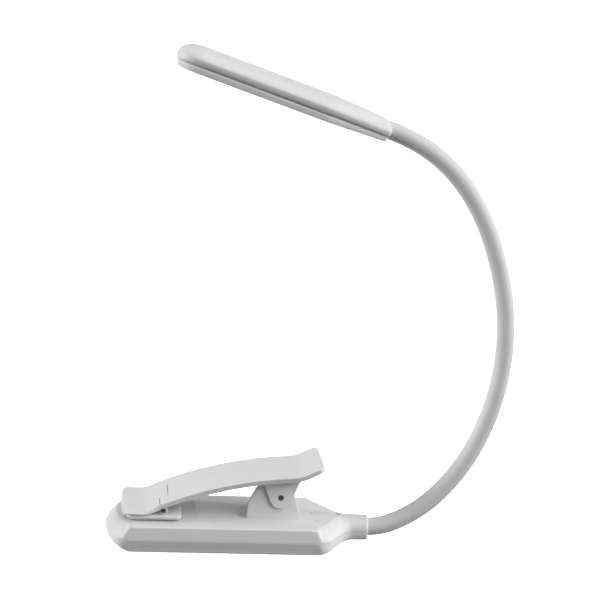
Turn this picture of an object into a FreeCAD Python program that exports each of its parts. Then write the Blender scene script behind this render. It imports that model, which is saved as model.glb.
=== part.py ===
"""Clip-on reading lamp: battery base with a spring clip, gooseneck and light bar.

Millimetres, +Z up, +X from the clip's mouth towards the neck. The origin is the
middle of the flat underside of the base.
"""
import FreeCAD, Part
import math
import os

V = FreeCAD.Vector
doc = FreeCAD.newDocument("ReadingLamp")

# ---------------------------------------------------------------- driving sizes
SIZES = {
    # base, seen from above: bowed clip end, straight sides, taper to the neck
    "base_half_width": 18.0, "base_thickness": 9.7, "parting_height": 4.9, "wall": 1.3,
    "bow_centre": -11.8, "bow_radius": 33.0, "corner_radius": 5.0,
    "taper_start": 26.5, "taper_radius": 7.0, "taper_angle": 60.0, "taper_run": 8.9,
    "taper_foot": 5.0, "draft": 11.0, "edge_round": 1.0, "under_round": 1.2,
    # collar and gooseneck
    "neck_height": 5.4, "collar_radius": 4.2, "collar_start": 37.6, "collar_end": 46.0,
    "sleeve_radius": 3.1, "sleeve_bore": 1.35, "core_radius": 1.25, "collar_clear": 0.05,
    "sleeve_inset": 4.0, "knuckle_clear": 0.15, "stub_length": 9.0, "segment_length": 19.5,
    "end_length": 12.5,
    # clip
    "pivot_along": 14.55, "pivot_height": 17.84, "pivot_radius": 0.9, "pivot_half": 8.7,
    "ear_inner": 5.6, "ear_thickness": 1.8, "cheek_inner": 7.7, "cheek_thickness": 1.2,
    "cheek_radius": 3.9, "plate_half_width": 13.1, "plate_thickness": 1.6,
    "jaw_along": -25.4, "jaw_height": 13.7, "jaw_pin_radius": 0.75, "skirt_thickness": 1.2,
    "jaw_length": 18.6, "jaw_left": -37.8, "sole_bottom": 10.05, "sole_thickness": 0.75,
    "carrier_thickness": 0.7, "running_clear": 0.05, "wire_radius": 0.4,
    "coil_radius": 2.2, "coil_pitch": 1.0, "coil_turns": 4.0,
    # light bar, in its own frame: the neck enters at zero, the tip lies at minus length
    "head_length": 75.5, "head_half_width": 9.0, "head_top": 4.6, "head_parting": -2.2,
    "head_bottom": -4.4, "head_crown": 4.4, "head_neck_half": 5.0, "head_taper": 22.0,
    "frame_inset": 0.35, "window_inset": 2.2,
    # electronics
    "cell_length": 34.0, "cell_width": 25.0, "cell_thickness": 5.4, "cell_bottom": 1.7,
    "board_thickness": 1.0, "board_bottom": 3.0, "board_width": 24.0,
}

sheet = doc.addObject("Spreadsheet::Sheet", "sizes")
for row, (alias, value) in enumerate(SIZES.items(), start=1):
    sheet.set(f"A{row}", alias)
    sheet.set(f"B{row}", str(value))
    sheet.setAlias(f"B{row}", alias)
doc.recompute()


def size(alias):
    """A driving size, read back from the sheet."""
    return float(sheet.get(alias))


HALF_WIDTH = size("base_half_width")
THICKNESS = size("base_thickness")
PARTING = size("parting_height")
WALL = size("wall")
NECK_Z = size("neck_height")
NODES = []


# ---------------------------------------------------------------- small helpers
def node(shape_object, label):
    """Register a finished sub-part under the name of its file."""
    shape_object.Label = label
    NODES.append(shape_object)
    return shape_object


def mirror_y(point):
    return V(point.x, -point.y, point.z)


def arc_by_angles(centre, radius, first, last):
    """Arc in the XY plane of a sketch, from the first to the last angle in degrees."""
    def at(angle):
        turn = math.radians(angle)
        return V(centre[0] + radius * math.cos(turn), centre[1] + radius * math.sin(turn), 0)
    return Part.Arc(at(first), at((first + last) / 2), at(last))


def polygon(points):
    """Closed outline of straight edges."""
    corners = [V(x, y, 0) for x, y in points]
    return [Part.LineSegment(a, b) for a, b in zip(corners, corners[1:] + corners[:1])]


def rectangle(low_x, low_y, high_x, high_y):
    return polygon([(low_x, low_y), (high_x, low_y), (high_x, high_y), (low_x, high_y)])


def circle(x, y, radius):
    return [Part.Circle(V(x, y, 0), V(0, 0, 1), radius)]


def rounded_rectangle(low_x, low_y, high_x, high_y, radius):
    """Closed outline of a rectangle with round corners."""
    edges = []
    centres = [(high_x - radius, low_y + radius, -90), (high_x - radius, high_y - radius, 0),
               (low_x + radius, high_y - radius, 90), (low_x + radius, low_y + radius, 180)]
    arcs = [arc_by_angles((x, y), radius, start, start + 90) for x, y, start in centres]
    for arc, following in zip(arcs, arcs[1:] + arcs[:1]):
        edges.append(arc)
        edges.append(Part.LineSegment(arc.EndPoint, following.StartPoint))
    return edges


def new_body(name):
    return doc.addObject("PartDesign::Body", name)


def bind(feature, prop, value):
    """Set a property from a number, or bind it to the sheet when it is an expression."""
    if isinstance(value, str):
        feature.setExpression(prop, value)
    else:
        setattr(feature, prop, value)


def add_sketch(body, role, edges, offset=0.0):
    """A sketch on one of the body's own origin planes, moved along that plane's normal."""
    sketch = body.newObject("Sketcher::SketchObject", f"{body.Name}_sketch")
    plane = next(item for item in body.Origin.OriginFeatures if item.Role == role)
    sketch.AttachmentSupport = [(plane, "")]
    sketch.MapMode = "FlatFace"
    if isinstance(offset, str):
        sketch.setExpression("AttachmentOffset.Base.z", offset)
    else:
        sketch.AttachmentOffset = FreeCAD.Placement(V(0, 0, offset), FreeCAD.Rotation())
    for edge in edges:
        sketch.addGeometry(edge, False)
    return sketch


def pad(body, role, edges, length, offset=0.0, midplane=False, downward=False, taper=0.0):
    feature = body.newObject("PartDesign::Pad", f"{body.Name}_pad")
    feature.Profile = add_sketch(body, role, edges, offset)
    bind(feature, "Length", length)
    feature.Midplane = midplane
    feature.Reversed = downward
    bind(feature, "TaperAngle", taper)
    body.Tip = feature
    doc.recompute()
    return feature


def pocket(body, role, edges, length, offset=0.0, midplane=False, upward=False):
    """Cut a profile; the solid has to get smaller, or the cut pointed the wrong way."""
    before = body.Shape.Volume
    feature = body.newObject("PartDesign::Pocket", f"{body.Name}_pocket")
    feature.Profile = add_sketch(body, role, edges, offset)
    bind(feature, "Length", length)
    feature.Midplane = midplane
    feature.Reversed = upward
    body.Tip = feature
    doc.recompute()
    if body.Shape.Volume > before - 1e-4:
        raise RuntimeError(f"{body.Name}: a pocket cut nothing")
    return feature


def round_edges(body, chosen, radius):
    """Fillet the edges for which chosen(edge) holds."""
    tip = body.Tip
    names = [f"Edge{i}" for i, edge in enumerate(tip.Shape.Edges, start=1) if chosen(edge)]
    feature = body.newObject("PartDesign::Fillet", f"{body.Name}_fillet")
    feature.Base = (tip, names)
    bind(feature, "Radius", radius)
    body.Tip = feature
    doc.recompute()
    return feature


def level_edge(height):
    """True for an edge that lies flat at one height."""
    def chosen(edge):
        box = edge.BoundBox
        return abs(box.ZMin - height) < 1e-3 and abs(box.ZMax - height) < 1e-3
    return chosen


def cylinder(name, radius, length, start, direction=V(0, 0, 1)):
    """A Part cylinder from a start point along a direction."""
    item = doc.addObject("Part::Cylinder", name)
    bind(item, "Radius", radius)
    bind(item, "Height", length)
    item.Placement = FreeCAD.Placement(start, FreeCAD.Rotation(V(0, 0, 1), direction))
    return item


def plain_box(name, low, high):
    item = doc.addObject("Part::Box", name)
    item.Length = high[0] - low[0]
    item.Width = high[1] - low[1]
    item.Height = high[2] - low[2]
    item.Placement = FreeCAD.Placement(V(*low), FreeCAD.Rotation())
    return item


def fused(name, items):
    item = doc.addObject("Part::MultiFuse", name)
    item.Shapes = items
    return item


def cut(name, base, tool):
    item = doc.addObject("Part::Cut", name)
    item.Base = base
    item.Tool = tool
    return item


def compound(name, items):
    item = doc.addObject("Part::Compound", name)
    item.Links = items
    return item


# ---------------------------------------------------------------- base outline
def base_outline(inset=0.0):
    """Plan of the base: bowed end, round corners, straight sides and tapered shoulders."""
    bow = size("bow_radius") - inset
    corner = size("corner_radius") - inset
    side = HALF_WIDTH - inset
    corner_y = HALF_WIDTH - size("corner_radius")
    reach = size("bow_radius") - size("corner_radius")
    corner_x = size("bow_centre") - math.sqrt(reach ** 2 - corner_y ** 2)
    lean = math.degrees(math.atan2(corner_y, size("bow_centre") - corner_x))
    shoulder = size("taper_radius") - inset
    angle = size("taper_angle")
    sine, cosine = math.sin(math.radians(angle)), math.cos(math.radians(angle))
    start = size("taper_start")
    shoulder_y = HALF_WIDTH - size("taper_radius")
    run_end = (start + shoulder * sine + size("taper_run") * cosine,
               shoulder_y + shoulder * cosine - size("taper_run") * sine)
    foot = size("taper_foot") + inset
    foot_centre = (run_end[0] + foot * sine, run_end[1] + foot * cosine)

    bow_arc = arc_by_angles((size("bow_centre"), 0), bow, 180 + lean, 180 - lean)
    upper = [
        arc_by_angles((corner_x, corner_y), corner, 180 - lean, 90),
        Part.LineSegment(V(corner_x, side, 0), V(start, side, 0)),
        arc_by_angles((start, shoulder_y), shoulder, 90, 90 - angle),
        Part.LineSegment(V(start + shoulder * sine, shoulder_y + shoulder * cosine, 0),
                         V(run_end[0], run_end[1], 0)),
        arc_by_angles(foot_centre, foot, 270 - angle, 270),
    ]
    lower = []
    for edge in reversed(upper):
        if isinstance(edge, Part.LineSegment):
            lower.append(Part.LineSegment(mirror_y(edge.EndPoint), mirror_y(edge.StartPoint)))
        else:
            middle = edge.value((edge.FirstParameter + edge.LastParameter) / 2)
            lower.append(Part.Arc(mirror_y(edge.EndPoint), mirror_y(middle),
                                  mirror_y(edge.StartPoint)))
    top_end = V(foot_centre[0], foot_centre[1] - foot, 0)
    closing = Part.LineSegment(top_end, mirror_y(top_end))
    return [bow_arc] + upper + [closing] + lower


THROAT_X, THROAT_Y = 37.0, 4.0


def cavity_outline():
    """Plan of the hollow inside both shells: like the base, but cut off before the collar."""
    side = HALF_WIDTH - WALL
    start = size("taper_start")
    corner_y = HALF_WIDTH - size("corner_radius")
    reach = size("bow_radius") - size("corner_radius")
    corner_x = size("bow_centre") - math.sqrt(reach ** 2 - corner_y ** 2)
    lean = math.degrees(math.atan2(corner_y, size("bow_centre") - corner_x))
    corner = size("corner_radius") - WALL
    bow_arc = arc_by_angles((size("bow_centre"), 0), size("bow_radius") - WALL, 180 + lean,
                            180 - lean)
    return [
        bow_arc,
        arc_by_angles((corner_x, corner_y), corner, 180 - lean, 90),
        Part.LineSegment(V(corner_x, side, 0), V(start, side, 0)),
        Part.LineSegment(V(start, side, 0), V(THROAT_X, THROAT_Y, 0)),
        Part.LineSegment(V(THROAT_X, THROAT_Y, 0), V(THROAT_X, -THROAT_Y, 0)),
        Part.LineSegment(V(THROAT_X, -THROAT_Y, 0), V(start, -side, 0)),
        Part.LineSegment(V(start, -side, 0), V(corner_x, -side, 0)),
        arc_by_angles((corner_x, -corner_y), corner, 270, 180 + lean),
    ]


def collar_half(upper):
    """Half of the collar's round section, above or below the parting plane (Y across)."""
    radius = size("collar_radius")
    drop = PARTING - NECK_Z
    reach = math.sqrt(radius ** 2 - drop ** 2)
    side = 1 if upper else -1
    arc = Part.Arc(V(-reach, PARTING, 0), V(0, NECK_Z + side * radius, 0), V(reach, PARTING, 0))
    return [arc, Part.LineSegment(V(reach, PARTING, 0), V(-reach, PARTING, 0))]


BOSSES = [(-39.3, 8.0), (-39.3, -8.0), (31.0, 8.8), (31.0, -8.8)]
BOSS_RADIUS = 2.1
SCREW_RADIUS = 0.8
USB_LOW, USB_HIGH = (8.0, 11.2, 4.0), (17.0, 17.9, 7.2)
USB_CLEAR = 0.15


def usb_window():
    """Outline, along X and Z, of the socket's window in the side wall."""
    return rectangle(USB_LOW[0] - USB_CLEAR, USB_LOW[2] - USB_CLEAR,
                     USB_HIGH[0] + USB_CLEAR, USB_HIGH[2] + USB_CLEAR)


def finish_shell(body, upper):
    """Collar, bore and socket window, the same in both halves of the base."""
    pad(body, "YZ_Plane", collar_half(upper), "sizes.collar_end - sizes.collar_start",
        offset="sizes.collar_start")
    bore = size("sleeve_radius") + size("collar_clear")
    pocket(body, "YZ_Plane", circle(0, NECK_Z, bore), 12.0, offset="sizes.collar_end")
    pocket(body, "XZ_Plane", usb_window(), 4.0, offset=-HALF_WIDTH - 0.5, upward=True)


EAR = [(3.3, 9.0), (3.2, 14.6), (6.0, 20.4), (8.0, 20.7), (16.5, 21.2), (19.0, 19.4), (21.9, 9.0)]
INLAY_LOW, INLAY_HIGH = (-38.2, -12.4), (-14.0, 12.4)
INLAY_DEPTH = 0.6
LIGHT_PIPE_X = 35.7
TOUCH_X = 27.8


def base_top_shell():
    """Upper casing with the two ears that carry the lever's pivot."""
    body = new_body("BaseTop")
    pad(body, "XY_Plane", base_outline(), "sizes.base_thickness - sizes.parting_height",
        offset="sizes.parting_height")
    round_edges(body, level_edge(THICKNESS), "sizes.edge_round")
    pocket(body, "XY_Plane", cavity_outline(),
           "sizes.base_thickness - sizes.parting_height - sizes.wall",
           offset="sizes.parting_height", upward=True)
    for x, y in BOSSES:
        pad(body, "XY_Plane", circle(x, y, BOSS_RADIUS), THICKNESS - WALL - PARTING + 0.3,
            offset="sizes.parting_height")
        pocket(body, "XY_Plane", circle(x, y, SCREW_RADIUS + 0.05), 3.2,
               offset="sizes.parting_height", upward=True)
    finish_shell(body, upper=True)
    for offset in ("sizes.ear_inner", "-sizes.ear_inner - sizes.ear_thickness"):
        pad(body, "XZ_Plane", polygon(EAR), "sizes.ear_thickness", offset=offset)
    pocket(body, "XZ_Plane",
           circle(size("pivot_along"), size("pivot_height"), size("pivot_radius") + 0.02),
           40.0, midplane=True)
    pocket(body, "XY_Plane", rounded_rectangle(*INLAY_LOW, *INLAY_HIGH, 3.0), INLAY_DEPTH,
           offset="sizes.base_thickness")
    pocket(body, "XY_Plane", circle(LIGHT_PIPE_X, 0, 0.72), 3.0, offset="sizes.base_thickness")
    return node(body, "base_top_shell")


def base_bottom_shell():
    """Lower casing: its side drafts inwards to the flat underside."""
    body = new_body("BaseBottom")
    pad(body, "XY_Plane", base_outline(), "sizes.parting_height",
        offset="sizes.parting_height", downward=True, taper="-sizes.draft")
    round_edges(body, level_edge(0.0), "sizes.under_round")
    pocket(body, "XY_Plane", cavity_scaled(), "sizes.parting_height - sizes.wall",
           offset="sizes.parting_height")
    for x, y in BOSSES:
        pad(body, "XY_Plane", circle(x, y, BOSS_RADIUS + 0.2), "sizes.parting_height")
        pocket(body, "XY_Plane", circle(x, y, SCREW_RADIUS + 0.25), "sizes.parting_height",
               offset="sizes.parting_height")
        pocket(body, "XY_Plane", circle(x, y, 1.8), 2.2, upward=True)
    finish_shell(body, upper=False)
    return node(body, "base_bottom_shell")


def cavity_scaled():
    """The hollow of the lower shell, drawn in a little further because its side leans."""
    lean = 0.9
    side = HALF_WIDTH - WALL - lean
    throat = THROAT_Y - 0.4
    upper = [(THROAT_X, throat), (25.6, side), (-35.6, side), (-40.2, 11.0)]
    return polygon(upper + [(x, -y) for x, y in reversed(upper)])


# ---------------------------------------------------------------- inside the base
def battery_cell():
    """Flat lithium pouch cell with its sealed lip."""
    body = new_body("Cell")
    half = size("cell_width") / 2
    left = -36.5
    pad(body, "XY_Plane", rounded_rectangle(left, -half, left + size("cell_length"), half, 1.6),
        "sizes.cell_thickness", offset="sizes.cell_bottom")
    top = size("cell_bottom") + size("cell_thickness")
    round_edges(body, level_edge(top), 0.8)
    lip = left + size("cell_length")
    pad(body, "XY_Plane", rectangle(lip - 0.5, -half + 2, lip + 2.2, half - 2), 0.5, offset=4.0)
    return node(body, "battery_cell")


def control_board():
    """Charging and dimming board, with a tongue that carries the indicator."""
    body = new_body("Board")
    half = size("board_width") / 2
    tongue = LIGHT_PIPE_X + 1.0
    outline = [(1.0, -half), (25.0, -half), (28.6, -5.8), (29.4, -3.0), (tongue, -3.0),
               (tongue, 3.0), (29.4, 3.0), (28.6, 5.8), (25.0, half), (1.0, half)]
    pad(body, "XY_Plane", polygon(outline), "sizes.board_thickness", offset="sizes.board_bottom")
    for x, y in ((3.0, -10.0), (23.5, -10.0)):
        pocket(body, "XY_Plane", circle(x, y, 0.9), 2.0, offset=4.5)
    return node(body, "control_board")


def board_components():
    """Charger chip, touch chip, coil and capacitors that stand on the board."""
    level = size("board_bottom") + size("board_thickness")
    places = [(4.0, -3.0, 5.0, 4.0, 1.0), (11.5, -5.0, 3.9, 5.0, 1.5), (18.0, -6.5, 4.0, 4.0, 1.8),
              (4.5, 4.0, 1.6, 0.8, 0.8), (4.5, 6.0, 1.6, 0.8, 0.8), (18.5, 0.5, 2.0, 1.2, 0.9),
              (18.5, 3.0, 2.0, 1.2, 0.9)]
    parts = [plain_box("Chip", (x, y, level), (x + dx, y + dy, level + dz))
             for x, y, dx, dy, dz in places]
    return node(compound("BoardComponents", parts), "board_components")


def usb_socket():
    """Charging socket: a flat shell with a tongue inside, open towards the back."""
    body = new_body("UsbSocket")
    pad(body, "XZ_Plane", rounded_rectangle(USB_LOW[0], USB_LOW[2], USB_HIGH[0], USB_HIGH[2], 1.2),
        USB_HIGH[1] - USB_LOW[1], offset=-USB_HIGH[1])
    shell = 0.3
    pocket(body, "XZ_Plane",
           rounded_rectangle(USB_LOW[0] + shell, USB_LOW[2] + shell, USB_HIGH[0] - shell,
                             USB_HIGH[2] - shell, 0.9),
           5.6, offset=-USB_HIGH[1], upward=True)
    middle = (USB_LOW[2] + USB_HIGH[2]) / 2
    pad(body, "XZ_Plane", rectangle(USB_LOW[0] + 1.2, middle - 0.35, USB_HIGH[0] - 1.2,
                                    middle + 0.35), 5.8, offset=-USB_HIGH[1] + 0.8)
    return node(body, "usb_socket")


def touch_spring():
    """Sprung contact between the board and the touch area of the upper shell."""
    level = size("board_bottom") + size("board_thickness")
    roof = THICKNESS - WALL
    outer = cylinder("TouchOuter", 1.4, roof - level, V(TOUCH_X - 2.4, 0, level))
    inner = cylinder("TouchInner", 1.0, roof - level + 1.0, V(TOUCH_X - 2.4, 0, level - 0.5))
    return node(cut("TouchSpring", outer, inner), "touch_spring")


def charge_light():
    """Indicator: the light source on the board and the clear pipe up to the surface."""
    level = size("board_bottom") + size("board_thickness")
    source = plain_box("IndicatorSource", (LIGHT_PIPE_X - 0.8, -0.5, level),
                       (LIGHT_PIPE_X + 0.8, 0.5, level + 0.7))
    node(source, "indicator_led")
    low = level + 0.8
    return node(cylinder("LightPipe", 0.7, THICKNESS - 0.05 - low, V(LIGHT_PIPE_X, 0, low)),
                "indicator_light_pipe")


def grip_inlay():
    """Soft strip set into the base under the jaw; what is clipped lies on it."""
    body = new_body("Inlay")
    gap = 0.1
    pad(body, "XY_Plane",
        rounded_rectangle(INLAY_LOW[0] + gap, INLAY_LOW[1] + gap, INLAY_HIGH[0] - gap,
                          INLAY_HIGH[1] - gap, 2.9),
        INLAY_DEPTH + 0.1, offset=THICKNESS - INLAY_DEPTH)
    return node(body, "grip_inlay")


def base_screws():
    """Four self-tapping screws that hold the two halves of the base."""
    screws = []
    for x, y in BOSSES:
        shaft = cylinder("Shaft", SCREW_RADIUS, 6.4, V(x, y, 1.2))
        head = cylinder("ScrewHead", 1.6, 1.3, V(x, y, 0.7))
        slot_a = plain_box("Slot", (x - 1.0, y - 0.2, 0.6), (x + 1.0, y + 0.2, 1.3))
        slot_b = plain_box("Slot", (x - 0.2, y - 1.0, 0.6), (x + 0.2, y + 1.0, 1.3))
        screws.append(cut("Screw", fused("ScrewBlank", [shaft, head]),
                          fused("Cross", [slot_a, slot_b])))
    return node(compound("BaseScrews", screws), "base_screws")


# ---------------------------------------------------------------- clip lever
FLAT_START = (-39.2, 13.9)
LEVER_PATH = [("line", 6.4), ("arc", 8.0, 24.3), ("arc", -137.0, 20.6),
              ("arc", 13.0, 22.8), ("line", 5.5)]


def walk(start, heading, path, offset):
    """Edges of a side-on path, moved sideways by an offset (positive to the left).

    A line is ("line", length); an arc is ("arc", radius, turn), where a negative
    radius bends to the right. Returns the edges and the two end points.
    """
    def left(angle):
        return V(-math.sin(angle), math.cos(angle), 0)

    angle = math.radians(heading)
    here = V(start[0], start[1], 0)
    edges = []
    first = here + left(angle) * offset
    for piece in path:
        if piece[0] == "line":
            there = here + V(math.cos(angle), math.sin(angle), 0) * piece[1]
            edges.append(Part.LineSegment(here + left(angle) * offset,
                                          there + left(angle) * offset))
        else:
            radius = piece[1]
            turn = math.copysign(math.radians(piece[2]), radius)
            centre = here + left(angle) * radius
            half_way = centre - left(angle + turn / 2) * (radius - offset)
            there = centre - left(angle + turn) * radius
            edges.append(Part.Arc(here + left(angle) * offset, half_way,
                                  there + left(angle + turn) * offset))
            angle += turn
        here = there
    return edges, first, here + left(angle) * offset


def tangent_point(point, centre, radius, side):
    """Where a line from a point touches a circle, on the chosen side."""
    dx, dy = point[0] - centre[0], point[1] - centre[1]
    distance = math.hypot(dx, dy)
    base = math.atan2(dy, dx)
    spread = math.acos(radius / distance)
    angle = base + side * spread
    return (centre[0] + radius * math.cos(angle), centre[1] + radius * math.sin(angle)), angle


def cheek_outline():
    """A cheek seen from the side: it hangs from the plate and ends round the pivot."""
    centre = (size("pivot_along"), size("pivot_height"))
    radius = size("cheek_radius")
    upper_left, upper_right = (7.8, 24.2), (20.9, 25.8)
    left_touch, left_angle = tangent_point(upper_left, centre, radius, 1)
    right_touch, right_angle = tangent_point(upper_right, centre, radius, -1)
    middle = (left_angle + right_angle + 2 * math.pi) / 2
    bottom = V(centre[0] + radius * math.cos(middle), centre[1] + radius * math.sin(middle), 0)
    a, b = V(*upper_left, 0), V(*left_touch, 0)
    c, d = V(*right_touch, 0), V(*upper_right, 0)
    return [Part.LineSegment(a, b), Part.Arc(b, bottom, c), Part.LineSegment(c, d),
            Part.LineSegment(d, a)]


SKIRT = [(-31.6, 12.25), (-18.6, 12.25), (-18.6, 18.4), (-26.0, 15.2), (-31.2, 13.1)]


def clip_lever():
    """Arched lever with a thumb tab, two pivot cheeks and two jaw skirts."""
    body = new_body("Lever")
    top, top_start, top_end = walk(FLAT_START, 0.0, LEVER_PATH, 0.0)
    under, under_start, under_end = walk(FLAT_START, 0.0, LEVER_PATH, -size("plate_thickness"))
    profile = top + [Part.LineSegment(top_end, under_end)] + under
    profile.append(Part.LineSegment(under_start, top_start))
    pad(body, "XZ_Plane", profile, "2 * sizes.plate_half_width", midplane=True)

    def end_corner(edge):
        box = edge.BoundBox
        upright = box.YMax - box.YMin < 1e-3
        short = edge.Length < size("plate_thickness") + 0.1
        return upright and short

    round_edges(body, end_corner, 2.5)
    for offset in ("sizes.cheek_inner", "-sizes.cheek_inner - sizes.cheek_thickness"):
        pad(body, "XZ_Plane", cheek_outline(), "sizes.cheek_thickness", offset=offset)
    for offset in ("sizes.plate_half_width - sizes.skirt_thickness", "-sizes.plate_half_width"):
        pad(body, "XZ_Plane", polygon(SKIRT), "sizes.skirt_thickness", offset=offset)
    pivot = size("pivot_radius") + size("running_clear")
    pocket(body, "XZ_Plane", circle(size("pivot_along"), size("pivot_height"), pivot), 40.0,
           midplane=True)
    pocket(body, "XZ_Plane",
           circle(size("jaw_along"), size("jaw_height"), size("jaw_pin_radius") + 0.02), 40.0,
           midplane=True)
    return node(body, "clip_lever")


def pins():
    """Steel pivot pin in the ears, and the thinner pin that the jaw swings on."""
    half = size("pivot_half")
    node(cylinder("PivotPin", "sizes.pivot_radius", "2 * sizes.pivot_half",
                  V(size("pivot_along"), -half, size("pivot_height")), V(0, 1, 0)), "pivot_pin")
    jaw_half = size("plate_half_width") - 0.3
    node(cylinder("JawPin", "sizes.jaw_pin_radius", "2 * sizes.plate_half_width - 0.6",
                  V(size("jaw_along"), -jaw_half, size("jaw_height")), V(0, 1, 0)), "jaw_pin")


def torsion_spring():
    """Wire coil round the pivot pin; one leg bears on the base, the other on the lever."""
    pitch, turns = size("coil_pitch"), size("coil_turns")
    radius, wire = size("coil_radius"), size("wire_radius")
    helix = Part.makeHelix(pitch, pitch * turns, radius)
    section = Part.Wire([Part.makeCircle(wire, V(radius, 0, 0), V(0, 1, 0))])
    coil = Part.Wire(helix).makePipeShell([section], True, True)
    half = pitch * turns / 2
    low_leg = Part.makeCylinder(wire, 6.6, V(radius, 0, 0), V(0.12, -1, 0))
    high_leg = Part.makeCylinder(wire, 7.0, V(radius, 0, pitch * turns), V(0.5, 1, 0))
    spring = coil.fuse([low_leg, high_leg]).removeSplitter()
    item = doc.addObject("Part::Feature", "Spring")
    item.Shape = spring
    turn = FreeCAD.Rotation(V(1, 0, 0), 90)
    item.Placement = FreeCAD.Placement(
        V(size("pivot_along"), half, size("pivot_height")), turn)
    return node(item, "torsion_spring")


def jaw():
    """Jaw that swings under the lever: a stiff carrier with pin saddles and a soft sole."""
    left = size("jaw_left")
    right = left + size("jaw_length")
    half = size("plate_half_width") - 0.1
    carrier_bottom = size("sole_bottom") + size("sole_thickness")
    carrier = new_body("JawCarrier")
    pad(carrier, "XY_Plane", rounded_rectangle(left, -half, right, half, 2.6),
        "sizes.carrier_thickness", offset="sizes.sole_bottom + sizes.sole_thickness")
    x, z = size("jaw_along"), size("jaw_height")
    saddle = rectangle(x - 1.7, carrier_bottom + 0.1, x + 1.7, z)
    for offset in (-9.4, -1.5, 6.4):
        pad(carrier, "XZ_Plane", saddle, 3.0, offset=offset)
    pocket(carrier, "XZ_Plane", circle(x, z, size("jaw_pin_radius") + size("running_clear")),
           24.0, midplane=True)
    node(carrier, "jaw_carrier")
    sole = new_body("JawSole")
    pad(sole, "XY_Plane", rounded_rectangle(left, -half, right, half, 2.6),
        "sizes.sole_thickness", offset="sizes.sole_bottom")
    round_edges(sole, level_edge(size("sole_bottom")), 0.4)
    node(sole, "jaw_sole")


# ---------------------------------------------------------------- gooseneck
STUB_TURN = 23.0
SEGMENT_TURNS = [24.5, 16.5, 13.5, 13.0, 12.5, 10.5, 15.5, 22.0]
END_TURN = 11.5


def neck_stations():
    """Point and heading (degrees above +X) at both ends of every arc of the neck."""
    arcs = [(size("stub_length"), STUB_TURN)]
    arcs += [(size("segment_length"), turn) for turn in SEGMENT_TURNS]
    arcs += [(size("end_length"), END_TURN)]
    x, z, heading = size("collar_end"), NECK_Z, 0.0
    stations = [(x, z, heading)]
    for length, turn in arcs:
        radius = length / math.radians(turn)
        start, end = math.radians(heading), math.radians(heading + turn)
        x += radius * (math.sin(end) - math.sin(start))
        z += radius * (math.cos(start) - math.cos(end))
        heading += turn
        stations.append((x, z, heading))
    return stations


STATIONS = neck_stations()
HEAD_X, HEAD_Z, HEAD_HEADING = STATIONS[-1]
HEAD_ENTRY = 3.0
JOINTS = [V(x, 0, z) for x, z, heading in STATIONS[1:-1]]


def ahead(station):
    """Unit vector along the neck at a station."""
    angle = math.radians(station[2])
    return V(math.cos(angle), 0, math.sin(angle))


def bent_rod(first, last, radius):
    """Round bar bent along the arc between two stations."""
    x, z, heading = first
    turn = last[2] - heading
    bend = math.dist(first[:2], last[:2]) / (2 * math.sin(math.radians(turn) / 2))
    angle = math.radians(heading)
    centre = V(x - bend * math.sin(angle), 0, z + bend * math.cos(angle))
    face = Part.Face(Part.Wire([Part.makeCircle(radius, V(x, 0, z), ahead(first))]))
    return face.revolve(centre, V(0, -1, 0), turn)


def trimmed(first, last, share):
    """The station a share of the way along an arc."""
    x, z, heading = first
    turn = last[2] - heading
    bend = math.dist(first[:2], last[:2]) / (2 * math.sin(math.radians(turn) / 2))
    start, end = math.radians(heading), math.radians(heading + turn * share)
    return (x + bend * (math.sin(end) - math.sin(start)),
            z + bend * (math.cos(start) - math.cos(end)), heading + turn * share)


def coded(name, shape, label):
    item = doc.addObject("Part::Feature", name)
    item.Shape = shape
    return node(item, label)


def neck_piece(index):
    """One length of the sleeve: a hollow start and a ball end, so it turns any way."""
    first, last = STATIONS[index], STATIONS[index + 1]
    ball = size("sleeve_radius")
    sleeve = bent_rod(first, last, ball)
    if index < len(STATIONS) - 2:
        sleeve = sleeve.fuse(Part.makeSphere(ball, V(last[0], 0, last[1]), ahead(last), 0, 90))
    if index > 0:
        socket = Part.makeSphere(ball + size("knuckle_clear"), V(first[0], 0, first[1]),
                                 ahead(first))
        sleeve = sleeve.cut(socket)
    return sleeve


def bore_of(index, radius):
    """Round bar along an arc, carried a little past the ball at its end."""
    first, last = STATIONS[index], STATIONS[index + 1]
    bar = bent_rod(first, last, radius)
    return bar.fuse(Part.makeCylinder(radius, 4.0, V(last[0], 0, last[1]), ahead(last)))


CORE_START = 4.9


def core_of(index, end_share=0.99):
    """The bendable core inside one length of sleeve, short of its neighbours."""
    first, last = STATIONS[index], STATIONS[index + 1]
    length = (size("segment_length") if index < len(STATIONS) - 2 else size("end_length"))
    start = trimmed(first, last, CORE_START / length)
    return bent_rod(start, trimmed(first, last, end_share), size("core_radius"))


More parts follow.
